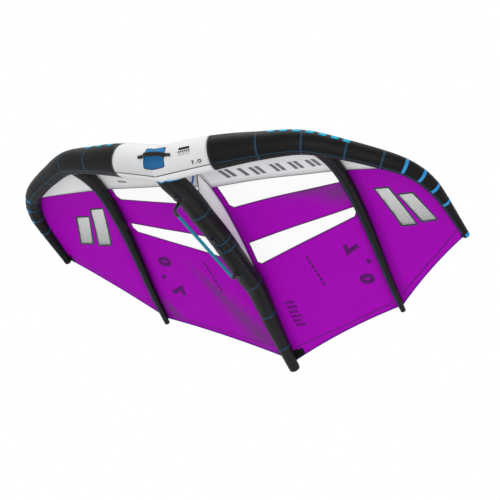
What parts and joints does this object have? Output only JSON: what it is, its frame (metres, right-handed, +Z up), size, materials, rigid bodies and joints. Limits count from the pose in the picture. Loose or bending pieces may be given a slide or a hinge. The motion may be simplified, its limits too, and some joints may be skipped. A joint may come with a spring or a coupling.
{
  "type": "wingfoil wing",
  "caption": "Inflatable hand-held wing with a bent tapered leading edge tube, centre and side struts, clear windows, purple canopy, front handle and harness line.",
  "frame": {"origin": "middle of the flat face of the front handle boss, under the centre strut", "axes": "+X along the span to the rider's right, +Y from the nose to the tail, +Z up through the canopy"},
  "size_m": [3.97, 2.616, 0.6541],
  "materials": {
    "sleeve_black": "woven, matt",
    "sleeve_white": "woven, matt",
    "pad_blue": "padded, matt",
    "canopy_purple": "ripstop cloth, satin",
    "canopy_white": "ripstop cloth, satin",
    "window_film": "clear film",
    "bladder_film": "thin film",
    "plastic_black": "moulded",
    "plastic_blue": "moulded",
    "line_teal": "smooth sleeve",
    "hose_blue": "smooth",
    "steel": "plain"
  },
  "bodies": {
    "wing": {"le_sleeve_center": "sleeve_white", "le_sleeve_right": "sleeve_black", "tip_cap_right": "pad_blue", "le_sleeve_left": "sleeve_black", "tip_cap_left": "pad_blue", "le_bladder": "bladder_film", "centre_strut": "sleeve_black", "centre_strut_bladder": "bladder_film", "centre_strut_cap": "sleeve_black", "side_strut_right": "sleeve_black", "side_strut_right_bladder": "bladder_film", "side_strut_right_cap": "sleeve_black", "side_strut_left": "sleeve_black", "side_strut_left_bladder": "bladder_film", "side_strut_left_cap": "sleeve_black", "front_strip_right": "canopy_white", "canopy_mid_right": "canopy_purple", "front_window_right": "window_film", "rear_window_right": "window_film", "front_wedge_right": "canopy_white", "canopy_outer_right": "canopy_purple", "front_strip_left": "canopy_white", "canopy_mid_left": "canopy_purple", "front_window_left": "window_film", "rear_window_left": "window_film", "front_wedge_left": "canopy_white", "canopy_outer_left": "canopy_purple", "strut_web": "canopy_white", "mount_patch_1": "sleeve_black", "mount_boss_1": "plastic_black", "mount_patch_2": "sleeve_black", "mount_boss_2": "plastic_black", "mount_patch_3": "sleeve_black", "mount_boss_3": "plastic_black", "mount_patch_4": "sleeve_black", "mount_boss_4": "plastic_black", "harness_anchor_front": "plastic_black", "harness_anchor_rear": "plastic_black", "handle_pad": "pad_blue", "handle_anchor_right": "sleeve_black", "handle_anchor_left": "sleeve_black", "valve_base": "plastic_black", "valve_cap_pin": "steel", "hose_port_nose": "plastic_black", "hose_port_strut": "plastic_black", "inflation_hose": "hose_blue", "hose_clip_frame": "plastic_blue", "tail_patch_right": "sleeve_black", "tip_patch_right": "sleeve_black", "tail_patch_left": "sleeve_black", "tip_patch_left": "sleeve_black"},
    "harness_line_body": {"harness_line": "line_teal", "harness_end_front": "plastic_black", "harness_end_rear": "plastic_black"},
    "handle_strap_body": {"handle_strap": "sleeve_black"},
    "valve_cap_body": {"valve_cap": "plastic_blue"},
    "clip_bar_body": {"hose_clip_bar": "plastic_blue"}
  },
  "joints": [
    {"name": "harness_swing", "type": "hinge", "parent": "wing", "child": "harness_line_body", "pos_m": [0, 0.034, 0.00414], "axis": [0, 0.997, 0.0772], "range_deg": [-80, 80]},
    {"name": "handle_strap_tilt", "type": "hinge", "parent": "wing", "child": "handle_strap_body", "pos_m": [0, -0.43644, 0.06758], "axis": [1, 0, 0], "range_deg": [-35, 35]},
    {"name": "valve_cap_hinge", "type": "hinge", "parent": "wing", "child": "valve_cap_body", "pos_m": [-0.24769, -0.28484, 0.32393], "axis": [-0.9778, -0.0331, 0.2068], "range_deg": [0, 150]},
    {"name": "hose_clip_hinge", "type": "hinge", "parent": "wing", "child": "clip_bar_body", "pos_m": [-0.014, 0.00943, 0.30129], "axis": [0, 0.9092, 0.4163], "range_deg": [0, 100]}
  ]
}
